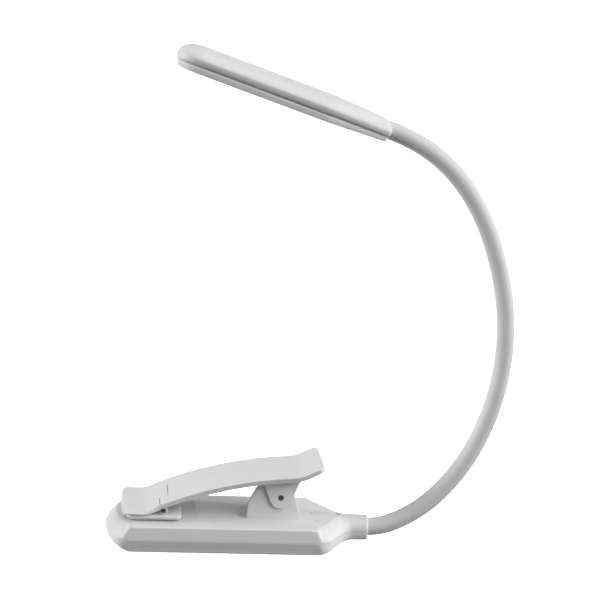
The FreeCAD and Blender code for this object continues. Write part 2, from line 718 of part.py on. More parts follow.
def neck():
    """Root stub, the turning lengths and the end stub, each with its core."""
    inset = size("sleeve_inset")
    bore, core = size("sleeve_bore"), size("core_radius")
    along = V(1, 0, 0)
    seat = V(size("collar_end") - inset, 0, NECK_Z)
    root = neck_piece(0).fuse(Part.makeCylinder(size("sleeve_radius"), inset, seat, along))
    root = root.cut(bore_of(0, bore)).cut(Part.makeCylinder(bore, inset + 1, seat - along, along))
    coded("NeckRoot", root.removeSplitter(), "neck_root_sleeve")
    core_start = V(size("collar_start") + 0.4, 0, NECK_Z)
    core_length = size("collar_end") - core_start.x
    root_core = Part.makeCylinder(core, core_length, core_start, along)
    root_bar = bent_rod(STATIONS[0], trimmed(STATIONS[0], STATIONS[1], 0.98), core)
    coded("NeckRootCore", root_core.fuse(root_bar).removeSplitter(), "neck_root_core")
    for index in range(1, len(SEGMENT_TURNS) + 1):
        sleeve = neck_piece(index).cut(bore_of(index, bore))
        coded(f"NeckSleeve{index}", sleeve, f"neck_sleeve_{index}")
        coded(f"NeckCore{index}", core_of(index), f"neck_core_{index}")
    last = len(STATIONS) - 2
    end, inward = V(HEAD_X, 0, HEAD_Z), ahead(STATIONS[-1])
    sleeve = neck_piece(last).fuse(
        Part.makeCylinder(size("sleeve_radius"), HEAD_ENTRY, end, inward))
    coded("NeckEnd", sleeve.cut(bore_of(last, bore)).removeSplitter(), "neck_end_sleeve")
    carried = Part.makeCylinder(core, HEAD_ENTRY, end, inward)
    coded("NeckEndCore", core_of(last, 1.0).fuse(carried), "neck_end_core")
    ferrule_start = V(size("collar_start") + 0.4, 0, NECK_Z)
    length = size("collar_end") - inset - ferrule_start.x - 0.1
    outer = cylinder("FerruleOuter", 3.1, length, ferrule_start, along)
    inner = cylinder("FerruleInner", "sizes.core_radius + 0.02", length + 2,
                     ferrule_start - along, along)
    node(cut("RootFerrule", outer, inner), "root_ferrule")


# ---------------------------------------------------------------- light bar
HEAD_PLACE = FreeCAD.Placement(
    V(HEAD_X, 0, HEAD_Z), FreeCAD.Rotation(V(0, 1, 0), 180.0 - HEAD_HEADING))


def head_outline(inset=0.0, right=0.0):
    """Plan of the light bar: round tip, straight sides, waist towards the neck."""
    half = size("head_half_width") - inset
    tip = -size("head_length")
    centre_x = tip + size("head_half_width")
    waist = -size("head_taper")
    end_half = size("head_neck_half") - inset
    share = (right - waist) / -waist
    right_half = half + (end_half - half) * share
    return [
        arc_by_angles((centre_x, 0), half, 270, 90),
        Part.LineSegment(V(centre_x, half, 0), V(waist, half, 0)),
        Part.LineSegment(V(waist, half, 0), V(right, right_half, 0)),
        Part.LineSegment(V(right, right_half, 0), V(right, -right_half, 0)),
        Part.LineSegment(V(right, -right_half, 0), V(waist, -half, 0)),
        Part.LineSegment(V(waist, -half, 0), V(centre_x, -half, 0)),
    ]


HEAD_SCREWS = [(-15.0, 5.6), (-15.0, -5.6)]


def head_shells():
    """Crowned upper shell and the flat lower frame with the window for the light."""
    bore = size("sleeve_radius") + size("collar_clear")
    top = new_body("HeadTop")
    pad(top, "XY_Plane", head_outline(), "sizes.head_top - sizes.head_parting",
        offset="sizes.head_parting")
    round_edges(top, level_edge(size("head_top")), "sizes.head_crown")
    pocket(top, "XY_Plane", head_outline(2.0, right=-12.0), 4.6,
           offset="sizes.head_parting", upward=True)
    for x, y in HEAD_SCREWS:
        pad(top, "XY_Plane", circle(x, y, 1.3), 4.8, offset="sizes.head_parting")
        pocket(top, "XY_Plane", circle(x, y, 0.65), 3.4, offset="sizes.head_parting", upward=True)
    pocket(top, "YZ_Plane", circle(0, 0, bore), 14.0, offset=1.0)
    top.Placement = HEAD_PLACE
    node(top, "head_top_shell")

    frame = new_body("HeadFrame")
    pad(frame, "XY_Plane", head_outline(size("frame_inset")),
        "sizes.head_parting - sizes.head_bottom", offset="sizes.head_bottom")
    pocket(frame, "XY_Plane", head_outline(size("window_inset"), right=-18.0), 6.0, midplane=True,
           offset="sizes.head_bottom")
    for x, y in HEAD_SCREWS:
        pocket(frame, "XY_Plane", circle(x, y, 0.8), 6.0, midplane=True,
               offset="sizes.head_bottom")
        pocket(frame, "XY_Plane", circle(x, y, 1.35), 1.2, offset="sizes.head_bottom",
               upward=True)
    pocket(frame, "YZ_Plane", circle(0, 0, bore), 14.0, offset=1.0)
    frame.Placement = HEAD_PLACE
    node(frame, "head_lower_frame")


def head_inside():
    """Diffuser, light board, the light sources, the neck's ferrule and the screws."""
    lens = new_body("Diffuser")
    pad(lens, "XY_Plane", head_outline(size("window_inset") + 0.1, right=-18.1), 1.0,
        offset=size("head_bottom") + 0.3)
    lens.Placement = HEAD_PLACE
    node(lens, "diffuser_lens")

    board = new_body("LightBoard")
    pad(board, "XY_Plane", rounded_rectangle(-71.0, -5.6, -18.5, 5.6, 2.0), 0.8, offset=-0.6)
    board.Placement = HEAD_PLACE
    node(board, "light_board")

    pitch, count = 6.0, 8
    chips = [plain_box("Source", (-67.5 + pitch * i, -1.4, -1.4), (-64.0 + pitch * i, 1.4, -0.6))
             for i in range(count)]
    sources = compound("LightSources", chips)
    sources.Placement = HEAD_PLACE
    node(sources, "light_sources")

    seat = V(-HEAD_ENTRY - 8.6, 0, 0)
    outer = cylinder("EndFerruleOuter", 2.6, 6.0, seat, V(1, 0, 0))
    inner = cylinder("EndFerruleInner", 0.9, 8.0, seat - V(1, 0, 0), V(1, 0, 0))
    ferrule = cut("EndFerrule", outer, inner)
    ferrule.Placement = HEAD_PLACE
    node(ferrule, "head_ferrule")

    screws = []
    for x, y in HEAD_SCREWS:
        low = size("head_bottom") + 0.2
        screws.append(fused("HeadScrew", [cylinder("HeadShaft", 0.6, 4.6, V(x, y, low + 0.5)),
                                          cylinder("HeadCap", 1.2, 0.9, V(x, y, low))]))
    group = compound("HeadScrews", screws)
    group.Placement = HEAD_PLACE
    node(group, "head_screws")


# ---------------------------------------------------------------- build and write
base_top_shell()
base_bottom_shell()
battery_cell()
control_board()
board_components()
usb_socket()
touch_spring()
charge_light()
grip_inlay()
base_screws()
clip_lever()
pins()
torsion_spring()
jaw()
neck()
head_shells()
head_inside()
doc.recompute()

for item in doc.Objects:
    broken = [state for state in item.State if state in ("Invalid", "Error")]
    if broken:
        raise RuntimeError(f"{item.Label}: {broken}")
os.makedirs("parts", exist_ok=True)
for item in NODES:
    shape = item.Shape
    if shape.isNull() or not shape.isValid() or not shape.Solids:
        raise RuntimeError(f"{item.Label}: no valid solid")
    shape.exportStep(f"parts/{item.Label}.step")
    box = shape.BoundBox
    print(f"{item.Label:22s} solids {len(shape.Solids)} volume {shape.Volume:9.1f}  "
          f"x {box.XMin:6.1f}..{box.XMax:6.1f} y {box.YMin:6.1f}..{box.YMax:6.1f} "
          f"z {box.ZMin:6.1f}..{box.ZMax:6.1f}")
for place in JOINTS:
    print(f"joint {place.x:.3f} {place.z:.3f}")
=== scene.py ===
"""Looks of the clip-on reading lamp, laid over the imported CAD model.

Shapes are written in millimetres in the model's own frame (origin in the middle of the
flat underside, +Z up, +X towards the neck) and scaled to metres when a mesh is made.
"""
import math
import bmesh
import bpy
from mathutils import Matrix, Vector


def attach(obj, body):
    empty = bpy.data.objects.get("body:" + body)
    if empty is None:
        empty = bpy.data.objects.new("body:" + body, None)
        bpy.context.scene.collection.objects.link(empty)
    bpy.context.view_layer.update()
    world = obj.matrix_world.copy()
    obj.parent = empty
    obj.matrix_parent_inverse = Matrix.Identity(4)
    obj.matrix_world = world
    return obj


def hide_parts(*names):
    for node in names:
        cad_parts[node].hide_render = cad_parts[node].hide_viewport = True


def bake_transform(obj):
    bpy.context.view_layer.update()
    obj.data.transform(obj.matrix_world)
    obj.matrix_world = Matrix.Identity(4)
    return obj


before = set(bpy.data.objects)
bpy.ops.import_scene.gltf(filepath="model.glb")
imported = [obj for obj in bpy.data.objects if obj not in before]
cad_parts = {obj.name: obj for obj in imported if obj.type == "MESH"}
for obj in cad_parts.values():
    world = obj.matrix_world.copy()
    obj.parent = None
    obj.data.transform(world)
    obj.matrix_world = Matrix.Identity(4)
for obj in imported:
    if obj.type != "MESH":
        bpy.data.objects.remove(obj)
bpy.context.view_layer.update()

MM = 0.001
THICKNESS, PARTING = 9.7, 4.9        # the base's top, and the line between its halves
COLLAR_END, NECK_Z = 46.0, 5.4       # where the gooseneck leaves the base
PIVOT = (14.55, 17.84)               # X and Z of the lever's pin
JAW_PIN = (-25.4, 13.7)              # X and Z of the jaw's pin
PLATE_HALF, PLATE_THICK = 13.1, 2.1  # the lever's arched plate
PAD_EXTRA, PAD_THICK = 1.4, 0.95     # the wider, thinner pad at the plate's clip end
PAD_DROP, PAD_BOW = 0.7, 0.35
SLEEVE, BORE = 3.1, 1.35             # the gooseneck's sleeve, outside and inside radius


# ------------------------------------------------------------------ mesh helpers
def smooth(low, high, value):
    """Smoothstep of value between two bounds."""
    share = min(1.0, max(0.0, (value - low) / (high - low)))
    return share * share * (3 - 2 * share)


def mix(a, b, share):
    return a + (b - a) * share


def turned(x, y, angle):
    cosine, sine = math.cos(angle), math.sin(angle)
    return x * cosine - y * sine, x * sine + y * cosine


def finish_mesh(obj, sharp):
    """Weld, point the faces outwards and shade smooth up to an angle in degrees."""
    mesh = obj.data
    work = bmesh.new()
    work.from_mesh(mesh)
    bmesh.ops.remove_doubles(work, verts=work.verts, dist=2e-6)
    bmesh.ops.dissolve_degenerate(work, edges=work.edges, dist=1e-6)
    bmesh.ops.recalc_face_normals(work, faces=work.faces)
    work.to_mesh(mesh)
    work.free()
    mesh.shade_smooth()
    mesh.set_sharp_from_angle(angle=math.radians(sharp))
    return obj


def mesh_object(name, points, faces, sharp=32.0, place=None):
    """A linked mesh object from points in millimetres, moved by an optional matrix."""
    mesh = bpy.data.meshes.new(name)
    spots = [Vector(point) * MM for point in points]
    if place is not None:
        spots = [place @ spot for spot in spots]
    mesh.from_pydata(spots, [], faces)
    obj = bpy.data.objects.new(name, mesh)
    bpy.context.scene.collection.objects.link(obj)
    return finish_mesh(obj, sharp)


def grid_faces(rows, columns, closed_rows=False, closed_columns=False):
    """Quads of a grid of points stored row after row."""
    faces = []
    for row in range(rows if closed_rows else rows - 1):
        following = (row + 1) % rows
        for column in range(columns if closed_columns else columns - 1):
            beside = (column + 1) % columns
            faces.append((row * columns + column, row * columns + beside,
                          following * columns + beside, following * columns + column))
    return faces


def baked(obj):
    """Turn an object's modifiers into its mesh."""
    bpy.context.view_layer.update()
    graph = bpy.context.evaluated_depsgraph_get()
    mesh = bpy.data.meshes.new_from_object(obj.evaluated_get(graph))
    obj.modifiers.clear()
    old, obj.data = obj.data, mesh
    bpy.data.meshes.remove(old)
    return obj


def carved(obj, *tools, sharp=32.0):
    """Cut closed tool objects out of an object and drop the tools."""
    for tool in tools:
        change = obj.modifiers.new("cut", "BOOLEAN")
        change.operation = "DIFFERENCE"
        change.solver = "EXACT"
        change.object = tool
        baked(obj)
        bpy.data.objects.remove(tool)
    obj.data.shade_smooth()
    obj.data.set_sharp_from_angle(angle=math.radians(sharp))
    return obj


def joined(name, first, *others):
    """One object from several meshes."""
    work = bmesh.new()
    for item in (first, *others):
        work.from_mesh(item.data)
    work.to_mesh(first.data)
    work.free()
    for item in others:
        bpy.data.objects.remove(item)
    first.name = name
    first.data.name = name
    return first


def rounded_polygon(corners, steps=6):
    """Outline with its corners rounded; a corner is (x, y, radius)."""
    outline = []
    count = len(corners)
    for index, (x, y, radius) in enumerate(corners):
        before = Vector(corners[index - 1][:2])
        after = Vector(corners[(index + 1) % count][:2])
        here = Vector((x, y))
        if radius <= 0:
            outline.append((x, y))
            continue
        back, ahead = (before - here).normalized(), (after - here).normalized()
        half = back.angle(ahead) / 2
        reach = radius / math.tan(half)
        centre = here + (back + ahead).normalized() * (radius / math.sin(half))
        start, end = here + back * reach - centre, here + ahead * reach - centre
        sweep = start.angle_signed(end)
        for step in range(steps + 1):
            spot = turned(start.x, start.y, -sweep * step / steps)
            outline.append((centre.x + spot[0], centre.y + spot[1]))
    return outline


def rounded_box(left, low, right, high, radius, right_radius=None):
    """Outline of a box with rounded corners; those at its right may have their own radius."""
    other = radius if right_radius is None else right_radius
    return rounded_polygon([(left, low, radius), (right, low, other), (right, high, other),
                            (left, high, radius)])


def plate(name, outline, low, high, edge, plane="XZ", place=None, sharp=32.0):
    """A flat plate with softly rounded rims. The outline lies in XZ or in XY."""
    quarter = [math.radians(90) * step / 4 for step in range(5)]
    rim = [(1 - math.cos(angle), 1 - math.sin(angle)) for angle in quarter]
    layers = [(low + edge * up, edge * inset) for up, inset in rim]
    layers += [(high - edge * up, edge * inset) for up, inset in reversed(rim)]
    count = len(outline)
    area = sum(outline[i - 1][0] * outline[i][1] - outline[i][0] * outline[i - 1][1]
               for i in range(count))
    side = 1 if area > 0 else -1
    inwards = []
    for i, (x, y) in enumerate(outline):
        before, after = Vector(outline[i - 1]), Vector(outline[(i + 1) % count])
        here = Vector((x, y))
        first, second = (here - before), (after - here)
        first = first.normalized() if first.length > 1e-9 else second.normalized()
        second = second.normalized() if second.length > 1e-9 else first
        along = (first + second).normalized()
        stretch = 1 / max(0.35, math.cos(first.angle(second) / 2))
        inwards.append(Vector((-along.y, along.x)) * side * stretch)
    points = []
    for level, inset in layers:
        for (x, y), inward in zip(outline, inwards):
            u, v = x + inward.x * inset, y + inward.y * inset
            points.append((u, v, level) if plane == "XY" else (u, level, v))
    faces = grid_faces(len(layers), count, closed_columns=True)
    faces.append(tuple(range(count)))
    faces.append(tuple(range((len(layers) - 1) * count, len(layers) * count)))
    return mesh_object(name, points, faces, sharp, place)


def rod(name, radius, start, end, steps=32):
    """A plain closed cylinder between two points, used as a cutting tool."""
    start, end = Vector(start), Vector(end)
    axis = (end - start).normalized()
    across = axis.orthogonal().normalized()
    other = axis.cross(across)
    points = []
    for centre in (start, end):
        for step in range(steps):
            angle = 2 * math.pi * step / steps
            points.append(centre + (across * math.cos(angle) + other * math.sin(angle)) * radius)
    faces = grid_faces(2, steps, closed_columns=True)
    faces += [tuple(range(steps)), tuple(range(steps, 2 * steps))]
    return mesh_object(name, points, faces)


def upright(name, outline, middle, half, edge):
    """A plate standing along X and Z, centred on a place across the lamp."""
    return plate(name, outline, middle - half, middle + half, edge)


def cross_bore(pin, radius):
    """Tool for a bore along Y round a pin, longer than the lamp is wide."""
    x, z = pin
    return rod("bore", radius, (x, -20, z), (x, 20, z))


def arc_spot(x, y, heading, radius, angle):
    """Where an arc leads; a negative radius bends to the right."""
    turn = math.copysign(angle, radius)
    return (x + radius * (math.sin(heading + turn) - math.sin(heading)),
            y - radius * (math.cos(heading + turn) - math.cos(heading)), heading + turn)


def stretch_spot(spot, radius, amount):
    """Where a stretch of outline leads: an arc by degrees, or a straight run by its length."""
    x, y, heading = spot
    if radius is None:
        return x + math.cos(heading) * amount, y + math.sin(heading) * amount, heading
    return arc_spot(x, y, heading, radius, math.radians(amount))


def traced(start, stretches):
    """Samples of an outline: its two coordinates, heading and run.

    A stretch is (radius or None, degrees or length, steps).
    """
    samples, spot, run = [], start, 0.0
    for radius, amount, steps in stretches:
        length = amount if radius is None else abs(radius) * math.radians(amount)
        for step in range(steps):
            share = step / steps
            samples.append((*stretch_spot(spot, radius, amount * share), run + length * share))
        spot = stretch_spot(spot, radius, amount)
        run += length
    samples.append((*spot, run))
    return samples


# ------------------------------------------------------------------ the base
CLIP_ROUNDING, NECK_ROUNDING = (-36.2, -39.6), (26.0, 29.2)  # where each end turns round
COLLAR_BLEND = (36.5, 41.0)
TOP_WALL, BOTTOM_WALL = 1.02, 1.1
SHELL_SHARP = 38.0
ROUND_STEPS = 12
EAR = [(3.1, 9.0, 0), (3.3, 15.0, 1.0), (6.1, 20.75, 0.5), (8.2, 20.8, 1.0),
       (16.4, 21.1, 1.6), (19.2, 19.2, 1.6), (22.2, 9.0, 0)]
EAR_AT, EAR_HALF, FAR_EAR_SHIFT = 6.5, 0.9, 3.4
INDICATOR_AT, INDICATOR_RADIUS = 35.7, 0.72
SCREWS_AT = [(-39.3, 8.0), (-39.3, -8.0), (31.0, 8.8), (31.0, -8.8)]


def base_trace():
    """Half outline of the base, from the collar's end along +Y to the clip end.

    Each sample is x, y and the heading; the inside lies to the left.
    """
    lip = [(0.0, 3.85), (0.12, 4.05), (0.4, 4.17), (1.0, 4.18), (2.4, 4.2)]
    samples = [(COLLAR_END - back, y, math.pi) for back, y in lip]
    stretches = [(-5.0, 60.0, 10), (None, 8.9, 8), (7.0, 60.0, 12), (None, 63.1, 30),
                 (5.0, 62.4, 14), (33.0, 27.6, 10)]
    path = traced((COLLAR_END - 4.67, 4.29, math.pi), stretches)
    samples += [(x, y, heading) for x, y, heading, run in path[:-1]]
    samples.append((path[-1][0], 0.0, 1.5 * math.pi))
    return samples


def end_rounding(x):
    """How far the full rounding of an end has taken over from the plain side: 0 to 1."""
    return max(smooth(*CLIP_ROUNDING, x), smooth(*NECK_ROUNDING, x))


def top_section(x, wall):
    """Inset and height of the upper shell's outside, or of its inside at a wall depth."""
    share = end_rounding(x)
    at_collar = smooth(*COLLAR_BLEND, x)
    chamfer, least, seam_high = 0.6, 0.35, PARTING + 0.1
    wide = mix(mix(chamfer, 3.9, share), 4.3, at_collar)
    tall = mix(chamfer, 4.7, share)
    flatness = 0.55 * share * (1 - at_collar)
    crest = mix(THICKNESS, THICKNESS - 0.1, at_collar)
    wide, tall, crest = max(least, wide - wall), max(least, tall - wall), crest - wall
    low = max(PARTING + 0.3, crest - tall)
    profile = [(0.14 if wall == 0 else wall, PARTING), (wall, seam_high),
               (wall, mix(seam_high, low, 0.5)), (wall, low)]
    for step in range(1, ROUND_STEPS + 1):
        part = step / ROUND_STEPS
        angle = math.radians(90) * part
        across = mix(1 - math.cos(angle), part, flatness)
        rise = mix(math.sin(angle), part, flatness)
        profile.append((wall + wide * across, mix(low, crest, rise)))
    return profile


def bottom_section(x, wall):
    """Inset and height of the lower shell, from the parting line down."""
    share = end_rounding(x)
    floor = mix(0.0, 1.2, smooth(*COLLAR_BLEND, x)) + wall
    high = PARTING - 0.22
    shoulder, step_in = high - 0.3, 0.12
    profile = [(wall + 0.04, PARTING), (wall + 0.04, high), (wall + 0.07, high - 0.15),
               (wall + step_in, shoulder)]
    lean, foot, wide = 1.15, 1.25 + wall * 0.5, 1.3
    end_wide = 4.1 if x < 0 else 2.3
    straight_steps = 5
    for step in range(1, ROUND_STEPS + 1):
        angle = math.radians(90) * step / ROUND_STEPS
        bulge = step_in + (1 - math.cos(angle)) * (end_wide - wall * 0.6)
        level = mix(shoulder, floor, math.sin(angle) ** 0.94)
        if step <= straight_steps:
            drop = step / straight_steps
            side, side_level = step_in + lean * drop, mix(shoulder, floor + foot, drop)
        else:
            bend = math.radians(90) * (step - straight_steps) / (ROUND_STEPS - straight_steps)
            side = step_in + lean + wide * (1 - math.cos(bend))
            side_level = floor + foot * (1 - math.sin(bend))
        profile.append((wall + mix(side, bulge, share), mix(side_level, level, share)))
    return profile


def shell(name, section, wall):
    """A hollow half of the base: outer skin, inner skin and the rims between them."""
    half = base_trace()
    rows = half + [(x, -y, None) for x, y, heading in reversed(half[:-1])]
    count = len(half)
    points, faces, pinch = [], [], []
    columns = len(section(half[0][0], 0.0))
    for depth in (0.0, wall):
        first_open = None
        for index in range(len(rows)):
            mirrored = index >= count
            x, y, heading = half[2 * count - 2 - index] if mirrored else half[index]
            inward = (-math.sin(heading), math.cos(heading))
            limit = -y / inward[1] if inward[1] < -0.02 and y > 0 else math.inf
            for inset, height in section(x, depth):
                reach = min(inset, limit)
                across = max(0.0, y + inward[1] * reach)
                points.append((x + inward[0] * reach, -across if mirrored else across, height))
            if first_open is None and points[-1][1] > 1e-4:
                first_open = index
        pinch.append(first_open)
    block = len(rows) * columns
    for skin in (0, 1):
        start = skin * block
        for face in grid_faces(len(rows), columns):
            faces.append(tuple(corner + start for corner in face))
        lead = max(0, pinch[skin] - 1)
        lid = [start + row * columns + columns - 1 for row in range(lead, len(rows) - lead)]
        faces.append(tuple(lid))
    for row in range(len(rows) - 1):
        a, b = row * columns, (row + 1) * columns
        faces.append((a, b, b + block, a + block))
    for row in (0, len(rows) - 1):
        for column in range(columns - 1):
            a = row * columns + column
            faces.append((a, a + 1, a + 1 + block, a + block))
    return mesh_object(name, points, faces, SHELL_SHARP)


def socket_opening():
    """Tool for the charging socket's opening, half of it in each shell."""
    return plate("window", rounded_box(7.85, 3.85, 17.15, 7.35, 1.2), 15.0, 19.5, 0.05)


def ear(side):
    """Pivot ear on the base. The far one's clip side stands further in."""
    shift = FAR_EAR_SHIFT if side > 0 else 0.0
    outline = [(x + (shift if x < 9 else 0.0), z, radius) for x, z, radius in EAR]
    blade = upright("ear", rounded_polygon(outline), side * EAR_AT, EAR_HALF, 0.42)
    return carved(blade, cross_bore(PIVOT, 0.92))


def base_pieces():
    """The two hollow halves of the base, the upper one with the ears."""
    top = shell("base_top", top_section, TOP_WALL)
    recess = plate("recess", rounded_box(-38.2, -12.4, -14.0, 12.4, 3.0), 9.1, 12.0, 0.02,
                   plane="XY")
    hole = rod("hole", INDICATOR_RADIUS, (INDICATOR_AT, 0, 7.0), (INDICATOR_AT, 0, 12.0))
    top = carved(top, socket_opening(), recess, hole, sharp=SHELL_SHARP)
    top = joined("base_top", top, ear(-1), ear(1))
    bottom = shell("base_bottom", bottom_section, BOTTOM_WALL)
    sinks = [rod("sink", 1.8, (x, y, -1.0), (x, y, 2.2)) for x, y in SCREWS_AT]
    bottom = carved(bottom, socket_opening(), *sinks, sharp=SHELL_SHARP)
    for piece, node in ((top, "base_top_shell"), (bottom, "base_bottom_shell")):
        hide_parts(node)
        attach(piece, "base")


# ------------------------------------------------------------------ the clip
CHEEK_CORNERS, CHEEK_RADIUS = [(7.8, 24.0), (21.7, 25.6)], 3.9
CHEEK_AT, CHEEK_HALF = 8.2, 0.5
SKIRT = [(-30.6, 12.15, 0.3), (-18.75, 12.15, 0.9), (-18.75, 17.4, 0.4), (-26.0, 14.6, 0.3),
         (-30.6, 13.5, 0.3)]
SKIRT_AT, SKIRT_HALF = 12.5, 0.58
SADDLE_STARTS, SADDLE_LENGTH = (-9.4, -1.5, 6.4), 3.0


def lever_path():
    """Samples of the lever's top line from its clip end: x, z, heading, run."""
    return traced((-39.5, 13.9, 0.0), [(None, 6.7, 12), (8.0, 24.3, 10), (-137.0, 20.6, 34),
                                       (13.0, 22.8, 10), (None, 6.0, 14)])


def section_ring(half, thick, edge, lower_edge, lean):
    """Rounded slab section whose sides lean in downward: across and depth, once round."""
    ring = []
    corners = [(half, 0.0, edge, 0), (half - lean, thick, lower_edge, 90),
               (lean - half, thick, lower_edge, 180), (-half, 0.0, edge, 270)]
    for across, depth, radius, start in corners:
        side = math.copysign(1, across)
        centre = (across - side * radius, depth + (radius if depth == 0 else -radius))
        for step in range(6):
            angle = math.radians(start + 90 * step / 5 - 90)
            ring.append((centre[0] + radius * math.cos(angle),
                         centre[1] + radius * math.sin(angle)))
        if start in (90, 270):
            flat = abs(across) - radius
            ring += [(side * flat * (1 - step / 6), depth) for step in range(1, 12)]
    return ring


def pad_share(run):
    """How much of the clip end's pad is left at a run along the lever: 1 to 0."""
    return 1 - smooth(6.5, 13.0, run)


def corner_cut(run, radius):
    """How much a rounded corner narrows the plate at a run from its end."""
    if run >= radius:
        return 0.0
    return radius - math.sqrt(radius ** 2 - (radius - run) ** 2)


def lever_plate():
    """The arched plate; its clip end is a wider, thinner and slightly bowed pad."""
    samples = lever_path()
    length = samples[-1][3]
    end_edge, bow_run = 0.35, 14.0
    points = []
    for x, z, heading, run in samples:
        pad = pad_share(run)
        half = PLATE_HALF + PAD_EXTRA * pad
        half -= corner_cut(run, 2.2) + corner_cut(length - run, 2.5)
        near_end = max(0.0, 1 - min(run, length - run) / 0.5)
        squeeze = end_edge * (1 - math.sqrt(1 - near_end ** 2))
        thick = mix(PLATE_THICK, PAD_THICK, pad) - 2 * squeeze
        normal = (-math.sin(heading), math.cos(heading))
        for across, depth in section_ring(half, thick, end_edge, 0.3, 0.42 * thick):
            down = depth + squeeze
            bow = PAD_BOW * (across / PLATE_HALF) ** 2 * (1 - smooth(0.0, bow_run, run))
            points.append((x - normal[0] * down + bow, across,
                           z - normal[1] * down - PAD_DROP * pad))
    size = len(points) // len(samples)
    faces = grid_faces(len(samples), size, closed_columns=True)
    faces.append(tuple(range(size)))
    faces.append(tuple(range((len(samples) - 1) * size, len(samples) * size)))
    return mesh_object("lever_plate", points, faces, 40.0)


def lever_top(at):
    """Height of the lever's top line at a place along X."""
    samples = lever_path()
    for (x0, z0, h0, run0), (x1, z1, h1, run1) in zip(samples, samples[1:]):
        if x0 <= at <= x1:
            share = (at - x0) / (x1 - x0)
            return mix(z0, z1, share) - PAD_DROP * pad_share(mix(run0, run1, share))
    return samples[-1][1]


def cheek(side):
    """Pivot cheek: a round foot about the pin, with two edges that leave it as tangents."""
    angles = []
    for (x, z), turn in zip(CHEEK_CORNERS, (1, -1)):
        dx, dz = x - PIVOT[0], z - PIVOT[1]
        angles.append(math.atan2(dz, dx)
                      + turn * math.acos(CHEEK_RADIUS / math.hypot(dx, dz)))
    start, end = angles[0], angles[1] + 2 * math.pi
    steps = 28
    foot = []
    for step in range(steps + 1):
        angle = mix(start, end, step / steps)
        foot.append((PIVOT[0] + CHEEK_RADIUS * math.cos(angle),
                     PIVOT[1] + CHEEK_RADIUS * math.sin(angle)))
    outline = [CHEEK_CORNERS[0], *foot, CHEEK_CORNERS[1]]
    blade = upright("cheek", outline, side * CHEEK_AT, CHEEK_HALF, 0.28)
    return carved(blade, cross_bore(PIVOT, 0.98))


def skirt(side):
    """Small side wall under the plate that holds one end of the jaw's pin."""
    blade = upright("skirt", rounded_polygon(SKIRT), side * SKIRT_AT, SKIRT_HALF, 0.5)
    return carved(blade, cross_bore(JAW_PIN, 0.8))


def seam(at, low, high):
    """Tool for a fine groove in the lever's top, between two places across it."""
    top, half = lever_top(at), 0.16
    outline = [(at - half, top - 0.42), (at + half, top - 0.34), (at + half, top + 2.0),
               (at - half, top + 2.0)]
    return plate("seam", outline, low, high, 0.02)


def lever():
    """The lever with its two fine seams, pivot cheeks and jaw skirts."""
    body = carved(lever_plate(), seam(-23.9, -5.5, 5.2), seam(-26.7, -16.0, -6.2), sharp=40.0)
    body = joined("lever", body, cheek(-1), cheek(1), skirt(-1), skirt(1))
    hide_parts("clip_lever")
    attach(body, "lever")


def jaw():
    """The jaw's carrier with three saddles for its pin, and the soft sole under it."""
    body = plate("jaw", rounded_box(-37.8, -12.95, -19.25, 12.95, 2.8, 1.6), 10.82, 11.95, 0.3,
                 plane="XY")
    saddle = rounded_polygon([(-27.2, 10.9, 0), (-23.6, 10.9, 0), (-23.9, 13.4, 0.8),
                              (-24.6, 14.3, 0.5), (-26.2, 14.3, 0.5), (-26.9, 13.4, 0.8)])
    saddles = [plate("saddle", saddle, y, y + SADDLE_LENGTH, 0.2) for y in SADDLE_STARTS]
    for item in saddles:
        carved(item, cross_bore(JAW_PIN, 0.8))
    body = joined("jaw", body, *saddles)
    sole = plate("jaw_pad", rounded_box(-36.9, -12.1, -20.1, 12.1, 2.4, 1.4), 10.08, 10.8, 0.32,
                 plane="XY")
    for piece, node, slot in ((body, "jaw_carrier", "lever_plastic"),
                              (sole, "jaw_sole", "grip_silicone")):
        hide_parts(node)
        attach(piece, "jaw")


# ------------------------------------------------------------------ the gooseneck
STUB, END = (9.0, 23.0), (12.5, 11.5)  # length and degrees of the first and last stretch
SEGMENT_LENGTH = 19.5
SEGMENT_TURNS = [24.5, 16.5, 13.5, 13.0, 12.5, 10.5, 15.5, 22.0]
SEGMENTS = len(SEGMENT_TURNS)
JOINTS = SEGMENTS + 1
INTO_HEAD = 3.0


def neck_arcs():
    """Every arc of the neck as start x, z, heading, length and turn in radians."""
    arcs = []
    x, z, heading = COLLAR_END, NECK_Z, 0.0
    for length, turn in [STUB] + [(SEGMENT_LENGTH, t) for t in SEGMENT_TURNS] + [END]:
        turn = math.radians(turn)
        arcs.append((x, z, heading, length, turn))
        x, z, heading = arc_spot(x, z, heading, length / turn, turn)
    arcs.append((x, z, heading, INTO_HEAD, 0.0))
    return arcs


NECK = neck_arcs()


def neck_spot(arc, run):
    """Place and heading at a run along one of the neck's arcs."""
    x, z, heading, length, turn = NECK[arc]
    if turn == 0 or run < 0:
        return x + math.cos(heading) * run, z + math.sin(heading) * run, heading
    return arc_spot(x, z, heading, length / turn, turn * run / length)


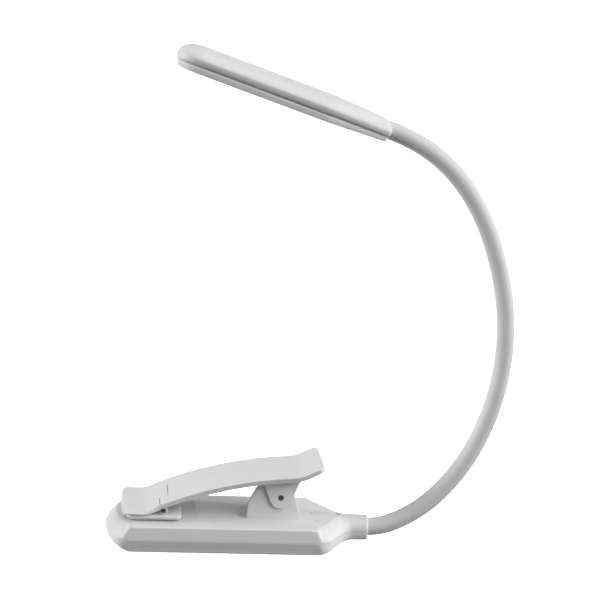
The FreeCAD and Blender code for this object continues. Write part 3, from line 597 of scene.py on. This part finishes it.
def neck_piece(number):
    """Sleeve skin across joint number: from mid-length before it to mid-length after."""
    spots = []
    if number == 1:
        spots += [neck_spot(0, run) for run in (-4.0, -2.0)]
        spots += [neck_spot(0, STUB[0] * step / 10) for step in range(10)]
    else:
        spots += [neck_spot(number - 1, SEGMENT_LENGTH * (0.5 + step / 20)) for step in range(10)]
    if number == JOINTS:
        spots += [neck_spot(number, END[0] * step / 12) for step in range(13)]
        spots += [neck_spot(number + 1, run) for run in (1.5, INTO_HEAD - 0.1)]
    else:
        spots += [neck_spot(number, SEGMENT_LENGTH * step / 20) for step in range(11)]
    around = 40
    points = []
    for radius in (SLEEVE, BORE):
        for x, z, heading in spots:
            for step in range(around):
                angle = 2 * math.pi * step / around
                out = radius * math.cos(angle)
                points.append((x - math.sin(heading) * out, radius * math.sin(angle),
                               z + math.cos(heading) * out))
    rows = len(spots)
    faces = grid_faces(rows, around, closed_columns=True)
    inner = rows * around
    faces += [tuple(corner + inner for corner in face) for face in faces]
    for row in (0, rows - 1):
        for step in range(around):
            a, b = row * around + step, row * around + (step + 1) % around
            faces.append((a, b, b + inner, a + inner))
    piece = mesh_object(f"neck_sleeve_skin_{number}", points, faces, 60.0)
    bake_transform(piece)
    return piece


def neck():
    """A skin across every joint; the first stands for the root's sleeve as well."""
    stood_for = ["neck_root_sleeve"] + [f"neck_sleeve_{i}" for i in range(1, JOINTS)]
    stood_for.append("neck_end_sleeve")
    for number in range(1, JOINTS + 1):
        piece = neck_piece(number)
        if number == 1:
            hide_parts(stood_for[0], stood_for[1])
        else:
            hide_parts(stood_for[number])


# ------------------------------------------------------------------ the light bar
HEAD_LENGTH, HEAD_HALF, HEAD_TOP = 75.5, 9.0, 4.6
HEAD_PARTING, HEAD_BOTTOM = -1.95, -4.4
HEAD_SHARP = 40.0
TIP_CENTRE = HEAD_HALF - HEAD_LENGTH  # of the round tip
TIP_BLEND = (-67.0, -75.0)
head_x, head_z, head_heading = NECK[-1][:3]
HEAD_PLACE = (Matrix.Translation(Vector((head_x, 0, head_z)) * MM)
              @ Matrix.Rotation(math.pi - head_heading, 4, "Y"))


def head_trace(inset=0.0):
    """Half outline of the bar from the neck end to the tip: x, y and the target on the spine."""
    half = HEAD_HALF - inset
    neck_half = 5.0 - inset
    spine_start = -7.5
    outline = rounded_polygon([(0.0, -1.0, 0), (0.0, neck_half, 1.6), (-22.0, half, 14.0),
                               (-40.0, half, 0)], steps=8)
    samples = [(0.0, 0.0), (0.0, neck_half * 0.3)] + outline[1:-1]
    side_steps, tip_steps = 14, 16
    samples += [(mix(-26.0, TIP_CENTRE, step / side_steps), half) for step in range(side_steps)]
    for step in range(tip_steps):
        angle = math.radians(90 + 90 * step / tip_steps)
        samples.append((TIP_CENTRE + half * math.cos(angle), half * math.sin(angle)))
    samples.append((TIP_CENTRE - half, 0.0))
    return [(x, y, min(spine_start, max(TIP_CENTRE, x))) for x, y in samples]


def head_section(x, distance, wall):
    """Share of the way to the spine and height, from the parting line up to the crest."""
    crest = mix(HEAD_TOP, 3.5, smooth(-9.0, -0.3, x)) - wall
    wide = min(distance, mix(6.6, 3.4, smooth(-6.0, -0.5, x))) - wall * 0.6
    at_tip = smooth(*TIP_BLEND, x)
    to_neck = smooth(-26.0, -5.0, x)
    belly = mix(0.3, -0.35, to_neck)
    under = mix(mix(1.7, 0.7, to_neck), 0.4, at_tip)
    flatness = mix(0.38, 0.12, at_tip)
    under_steps, over_steps = 8, 16
    profile = []
    for step in range(under_steps + 1):
        share = step / under_steps
        bulge = under * (1 - math.sqrt(1 - (1 - share) ** 2))
        profile.append((bulge + wall, mix(HEAD_PARTING, belly, share)))
    for step in range(1, over_steps + 1):
        share = step / over_steps
        angle = math.radians(90) * share
        across = mix(1 - math.cos(angle), share, flatness)
        rise = mix(math.sin(angle), share, flatness)
        profile.append((wall + wide * across, mix(belly, crest - 0.12, rise)))
    reach = profile[-1][0]
    profile.append((mix(reach, distance, 0.5), crest - 0.03))
    profile.append((distance, crest))
    return [(inset / distance, height) for inset, height in profile]


def head_top():
    """Upper shell of the bar: an outer and an inner skin, joined at the parting line."""
    half = head_trace()
    rows = half + [(x, -y, spine) for x, y, spine in reversed(half[1:-1])]
    columns = len(head_section(-30.0, HEAD_HALF, 0.0))
    points = []
    for wall in (0.0, 1.5):
        for x, y, spine in rows:
            distance = math.hypot(x - spine, y)
            for share, height in head_section(x, distance, wall):
                share = min(1.0, share)
                points.append((mix(x, spine, share), mix(y, 0.0, share), height))
    block = len(rows) * columns
    skin = grid_faces(len(rows), columns, closed_rows=True)
    faces = skin + [tuple(corner + block for corner in face) for face in skin]
    for row in range(len(rows)):
        a, b = row * columns, ((row + 1) % len(rows)) * columns
        faces.append((a, b, b + block, a + block))
    return mesh_object("head_top", points, faces, HEAD_SHARP, HEAD_PLACE)


def frame_ring(inset):
    """The bar's whole outline, moved inwards."""
    half = head_trace(inset)
    return [(x, y) for x, y, spine in half] + [(x, -y) for x, y, s in reversed(half[1:-1])]


def window_outline():
    """Outline of the light window: narrower at the neck end, round at the tip."""
    half, steps = 6.8, 8
    outline = [(-18.0, -5.4, 1.0), (-18.0, 5.4, 1.0), (-24.0, half, 2.0)]
    for step in range(steps + 1):
        angle = math.radians(90 + 180 * step / steps)
        outline.append((TIP_CENTRE + half * math.cos(angle), half * math.sin(angle), 0))
    outline.append((-24.0, -half, 2.0))
    return rounded_polygon(outline)


def head_frame():
    """Lower frame: near-upright side, small lower edge, and the window's rim."""
    # inset along the sides, inset at the tip, height
    layers = [(1.7, 0.45, HEAD_PARTING + 0.02), (1.25, 0.5, HEAD_PARTING - 0.12),
              (0.92, 0.6, HEAD_PARTING - 0.32), (0.74, 0.7, HEAD_PARTING - 0.56),
              (0.92, 1.2, HEAD_BOTTOM + 0.7), (1.02, 1.5, HEAD_BOTTOM + 0.3),
              (1.15, 1.8, HEAD_BOTTOM + 0.06), (1.4, 1.95, HEAD_BOTTOM)]
    points = []
    for inset, tip_inset, height in layers:
        for x, y in frame_ring(inset):
            rise = 0.45 * smooth(-7.0, -0.3, x) * smooth(HEAD_PARTING, HEAD_BOTTOM, height)
            tuck = (tip_inset - inset) * smooth(*TIP_BLEND, x)
            shift = tuck - (inset * 0.6 if x > -1.5 else 0.0)
            fuller = 1.0 + 0.13 * max(0.0, inset - 0.8) * smooth(-24.0, -18.0, x)
            points.append((x + shift, y * fuller, height + rise))
    count = len(points) // len(layers)
    faces = grid_faces(len(layers), count, closed_columns=True)
    faces.append(tuple(range((len(layers) - 1) * count, len(layers) * count)))
    faces.append(tuple(range(count)))
    body = mesh_object("head_frame", points, faces, HEAD_SHARP, HEAD_PLACE)
    tool = plate("window", window_outline(), HEAD_BOTTOM - 2.0, HEAD_PARTING + 2.0, 0.02,
                 plane="XY", place=HEAD_PLACE)
    return carved(body, tool, sharp=HEAD_SHARP)


def head():
    """Both halves of the bar, bored for the end of the neck."""
    top, lower = head_top(), head_frame()
    for piece in (top, lower):
        bore = rod("bore", SLEEVE + 0.06, (-13.0, 0, 0), (4.0, 0, 0))
        bore.data.transform(HEAD_PLACE)
        carved(piece, bore, sharp=HEAD_SHARP)
    for piece, node in ((top, "head_top_shell"), (lower, "head_lower_frame")):
        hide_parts(node)
        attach(piece, "head")


# ------------------------------------------------------------------ printed marks
TOUCH_AT = 27.8


def touch_marks():
    """Printed ring of the touch key and the small dash beside it."""
    around = 36
    rims = ((1.15, 0.0), (1.2, 0.025), (1.48, 0.025), (1.53, 0.0))
    points = []
    for radius, height in rims:
        for step in range(around):
            angle = 2 * math.pi * step / around
            points.append((TOUCH_AT + radius * math.cos(angle), radius * math.sin(angle),
                           THICKNESS + height))
    faces = grid_faces(len(rims), around, closed_columns=True)
    ring = mesh_object("touch_ring", points, faces, 30.0)
    dash = plate("touch_dash", rounded_box(26.2, -8.45, 28.0, -7.95, 0.2), THICKNESS - 0.05,
                 THICKNESS + 0.03, 0.02, plane="XY")
    for item in (ring, dash):
        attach(item, "base")


base_pieces()
lever()
jaw()
neck()
head()
touch_marks()


# ------------------------------------------------------------------ materials
def new_material(name):
    """A fresh node material with its nodes, links and main shader."""
    material = bpy.data.materials.new(name)
    material.use_nodes = True
    nodes = material.node_tree.nodes
    return material, nodes, material.node_tree.links, nodes["Principled BSDF"]


def noise(nodes, links, coordinates, scale, detail):
    """A cloudy pattern, 0 to 1, of a given fineness."""
    texture = nodes.new("ShaderNodeTexNoise")
    texture.inputs["Scale"].default_value = scale
    texture.inputs["Detail"].default_value = detail
    texture.inputs["Roughness"].default_value = 0.5
    links.new(coordinates, texture.inputs["Vector"])
    return texture.outputs["Fac"]


def spread(nodes, links, value, low, high):
    """The middle of a pattern's values spread over a range."""
    change = nodes.new("ShaderNodeMapRange")
    change.inputs["From Min"].default_value = 0.3
    change.inputs["From Max"].default_value = 0.7
    change.inputs["To Min"].default_value = low
    change.inputs["To Max"].default_value = high
    links.new(value, change.inputs["Value"])
    return change.outputs["Result"]


def shaded(nodes, links, value, dark, light):
    """A colour between two shades, by a 0..1 value."""
    blend = nodes.new("ShaderNodeMix")
    blend.data_type = "RGBA"
    blend.inputs[6].default_value = (*dark, 1)
    blend.inputs[7].default_value = (*light, 1)
    links.new(value, blend.inputs[0])
    return blend.outputs[2]


def worn_edges(nodes, links, tone, colour, wear):
    """A tone that turns a little lighter along the raised edges."""
    edge = nodes.new("ShaderNodeNewGeometry").outputs["Pointiness"]
    ridge = nodes.new("ShaderNodeMapRange")
    ridge.inputs["From Min"].default_value = 0.52
    ridge.inputs["From Max"].default_value = 0.62
    links.new(edge, ridge.inputs["Value"])
    amount = nodes.new("ShaderNodeMath")
    amount.operation = "MULTIPLY"
    amount.inputs[1].default_value = wear
    links.new(ridge.outputs["Result"], amount.inputs[0])
    worn = nodes.new("ShaderNodeMix")
    worn.data_type = "RGBA"
    worn.inputs[7].default_value = (*(min(1.0, c * 1.25 + 0.02) for c in colour), 1)
    links.new(amount.outputs[0], worn.inputs[0])
    links.new(tone, worn.inputs[6])
    return worn.outputs[2]


def surface(name, colour, rough, vary=0.03, grain=1600.0, depth=0.00002, metal=0.0,
            specular=0.5, coat=0.0, cloud=60.0, wear=0.0):
    """Moulded or metal surface: clouded shade, uneven sheen, fine grain, worn edges."""
    material, nodes, links, shader = new_material(name)
    where = nodes.new("ShaderNodeTexCoord").outputs["Object"]
    patches = noise(nodes, links, where, cloud, 4.0)
    dark = tuple(channel * (1 - vary) for channel in colour)
    light = tuple(min(1.0, channel * (1 + vary)) for channel in colour)
    tone = shaded(nodes, links, spread(nodes, links, patches, 0.0, 1.0), dark, light)
    if wear > 0:
        tone = worn_edges(nodes, links, tone, colour, wear)
    links.new(tone, shader.inputs["Base Color"])
    sheen = noise(nodes, links, where, grain * 0.2, 2.0)
    links.new(spread(nodes, links, sheen, rough * 0.88, min(1.0, rough * 1.12)),
              shader.inputs["Roughness"])
    bump = nodes.new("ShaderNodeBump")
    bump.inputs["Strength"].default_value = 0.35
    bump.inputs["Distance"].default_value = depth
    links.new(noise(nodes, links, where, grain, 2.0), bump.inputs["Height"])
    links.new(bump.outputs["Normal"], shader.inputs["Normal"])
    shader.inputs["Metallic"].default_value = metal
    shader.inputs["Specular IOR Level"].default_value = specular
    shader.inputs["Coat Weight"].default_value = coat
    shader.inputs["Coat Roughness"].default_value = 0.2
    return material


WHITE = (0.62, 0.62, 0.62)
materials = {
    "shell": surface("shell_white", WHITE, 0.42, vary=0.012, grain=2600, depth=0.000003,
                     specular=0.35, wear=0.10),
    "lever": surface("lever_white", WHITE, 0.45, vary=0.012, grain=2600, depth=0.000003,
                     specular=0.3, wear=0.10),
    "sleeve": surface("sleeve_silicone", (0.55, 0.55, 0.55), 0.5, vary=0.015, grain=3500,
                      depth=0.000002, specular=0.35),
    "grip": surface("grip_silicone", (0.61, 0.61, 0.61), 0.55, vary=0.03, grain=1800,
                    depth=0.00003, specular=0.3),
    "diffuser": surface("diffuser_frost", (0.8, 0.8, 0.78), 0.35, vary=0.01, grain=1200,
                        depth=0.00001, coat=0.2),
    "pin": surface("pin_steel", (0.30, 0.30, 0.31), 0.32, vary=0.1, grain=900, metal=1.0,
                   cloud=400, wear=0.2),
    "spring": surface("spring_steel", (0.38, 0.38, 0.4), 0.28, vary=0.12, grain=1200, metal=1.0,
                      cloud=300, wear=0.2),
    "core": surface("core_steel", (0.42, 0.42, 0.43), 0.4, vary=0.1, grain=1500, metal=1.0),
    "brass": surface("ferrule_brass", (0.72, 0.52, 0.24), 0.3, vary=0.1, grain=900, metal=1.0),
    "screw": surface("screw_steel", (0.45, 0.45, 0.47), 0.3, vary=0.12, grain=800, metal=1.0,
                     wear=0.3),
    "socket": surface("socket_steel", (0.6, 0.6, 0.62), 0.25, vary=0.06, grain=700, metal=1.0,
                      wear=0.3),
    "foil": surface("cell_foil", (0.66, 0.67, 0.69), 0.3, vary=0.12, grain=260, depth=0.0001,
                    metal=0.9, cloud=120),
    "laminate": surface("board_laminate", (0.03, 0.14, 0.06), 0.35, vary=0.25, grain=1200,
                        cloud=200, coat=0.3),
    "board": surface("light_board_white", (0.75, 0.75, 0.74), 0.4, vary=0.05, grain=900),
    "chip": surface("chip_black", (0.02, 0.02, 0.022), 0.5, vary=0.3, grain=2500,
                    depth=0.00002, wear=0.2),
    "led": surface("led_phosphor", (0.82, 0.68, 0.22), 0.4, vary=0.08, grain=2600, cloud=900),
    "pipe": surface("pipe_smoke", (0.22, 0.22, 0.23), 0.18, vary=0.1, grain=1200, coat=0.5,
                    cloud=800),
    "print": surface("mark_grey", (0.5, 0.5, 0.5), 0.5, vary=0.06, grain=2500, cloud=500),
}

looks = {
    "base_top": "shell", "base_bottom": "shell", "lever": "lever", "jaw": "lever",
    "jaw_pad": "grip", "head_top": "shell", "head_frame": "shell", "touch_ring": "print",
    "touch_dash": "print", "grip_inlay": "grip", "pivot_pin": "pin", "jaw_pin": "pin",
    "torsion_spring": "spring", "base_screws": "screw", "head_screws": "screw",
    "usb_socket": "socket", "battery_cell": "foil", "control_board": "laminate",
    "board_components": "chip", "touch_spring": "spring", "indicator_led": "led",
    "indicator_light_pipe": "pipe", "light_board": "board", "light_sources": "led",
    "diffuser_lens": "diffuser", "head_ferrule": "brass", "root_ferrule": "brass",
    "neck_root_core": "core", "neck_end_core": "core",
}
for number in range(1, 9):
    looks[f"neck_core_{number}"] = "core"
for number in range(1, 10):
    looks[f"neck_sleeve_skin_{number}"] = "sleeve"
for name, look in looks.items():
    item = bpy.data.objects[name]
    item.data.materials.clear()
    item.data.materials.append(materials[look])
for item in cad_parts.values():
    item.data.shade_smooth()
    item.data.set_sharp_from_angle(angle=math.radians(30))


# ------------------------------------------------------------------ stage and light
def stage_floor():
    """Plain sheet, flat to well beyond the object and swept up far away on all sides."""
    reach, flat, steepness = 30000.0, 12000.0, 12000.0
    steps = 48
    points = []
    for row in range(steps + 1):
        for column in range(steps + 1):
            x, y = mix(-reach, reach, row / steps), mix(-reach, reach, column / steps)
            rise = max(0.0, math.hypot(x, y) - flat) ** 2 / steepness
            points.append((x, y, rise - 0.05))
    floor = mesh_object("floor", points, grid_faces(steps + 1, steps + 1))
    floor.data.materials.append(surface("paper", (0.95, 0.95, 0.95), 0.9, vary=0.004,
                                        specular=0.0, depth=0.0))
    paper = floor.data.materials[0].node_tree.nodes["Principled BSDF"]
    paper.inputs["Emission Color"].default_value = (1, 1, 1, 1)
    paper.inputs["Emission Strength"].default_value = 0.9
    floor.visible_diffuse = False
    floor.visible_glossy = False
    floor.visible_transmission = False
    floor.visible_shadow = False


# each soft light of the sky: azimuth and elevation in degrees, tightness, strength
LOBES = [(180, 8.53, 30, 13.2), (-45, 40, 10, 5.5), (90, -35, 6, 2.8), (0, 0, 10, 2.35),
         (0, 40, 10, 1.4), (180, 0, 10, 1.0), (90, 0, 10, 1.0), (-30, -35, 6, 0.5),
         (180, 40, 10, 0.58), (135, 40, 10, 0.53), (150, -35, 6, 0.2)]


def calculated(nodes, links, operation, *values):
    """Output of a maths node fed with sockets or plain numbers."""
    node = nodes.new("ShaderNodeMath")
    node.operation = operation
    for socket, value in zip(node.inputs, values):
        if isinstance(value, bpy.types.NodeSocket):
            links.new(value, socket)
        else:
            socket.default_value = value
    return node.outputs[0]


def sky():
    """A world lit by broad soft lights, which a floor or a camera does not change."""
    world = bpy.data.worlds.new("studio")
    bpy.context.scene.world = world
    world.use_nodes = True
    nodes, links = world.node_tree.nodes, world.node_tree.links
    background = nodes["Background"]
    where = nodes.new("ShaderNodeTexCoord").outputs["Generated"]
    total = 0.0
    for azimuth, elevation, power, strength in LOBES:
        around, up = math.radians(azimuth), math.radians(elevation)
        dot = nodes.new("ShaderNodeVectorMath")
        dot.operation = "DOT_PRODUCT"
        dot.inputs[1].default_value = (math.cos(around) * math.cos(up),
                                       math.sin(around) * math.cos(up), math.sin(up))
        links.new(where, dot.inputs[0])
        facing = calculated(nodes, links, "MAXIMUM", dot.outputs["Value"], 0.0)
        raised = calculated(nodes, links, "POWER", facing, power)
        total = calculated(nodes, links, "MULTIPLY_ADD", raised, strength, total)
    links.new(total, background.inputs["Strength"])
    background.inputs["Color"].default_value = (1, 1, 1, 1)


stage_floor()
sky()
bpy.context.scene.view_settings.view_transform = "Standard"

# ------------------------------------------------------------------ camera
LENS = 102.0
SENSOR = 36.0
TARGET = Vector((18.097, 0.0, 85.222))
DISTANCE = 575.94
YAW, PITCH, ROLL = math.radians(-6.365), math.radians(11.279), math.radians(3.318)
back = Vector((math.sin(YAW) * math.cos(PITCH), -math.cos(YAW) * math.cos(PITCH),
               math.sin(PITCH)))
level = Vector((math.cos(YAW), math.sin(YAW), 0.0))
upright = back.cross(level)
right = level * math.cos(ROLL) + upright * math.sin(ROLL)
up = upright * math.cos(ROLL) - level * math.sin(ROLL)
camera_data = bpy.data.cameras.new("camera")
camera_data.lens = LENS
camera_data.sensor_width = SENSOR
camera_data.clip_start = 0.01
camera_data.clip_end = 100.0
camera = bpy.data.objects.new("camera", camera_data)
bpy.context.scene.collection.objects.link(camera)
pose = Matrix((right, up, back)).transposed().to_4x4()
pose.translation = (TARGET + back * DISTANCE) * MM
camera.matrix_world = pose
bpy.context.scene.camera = camera
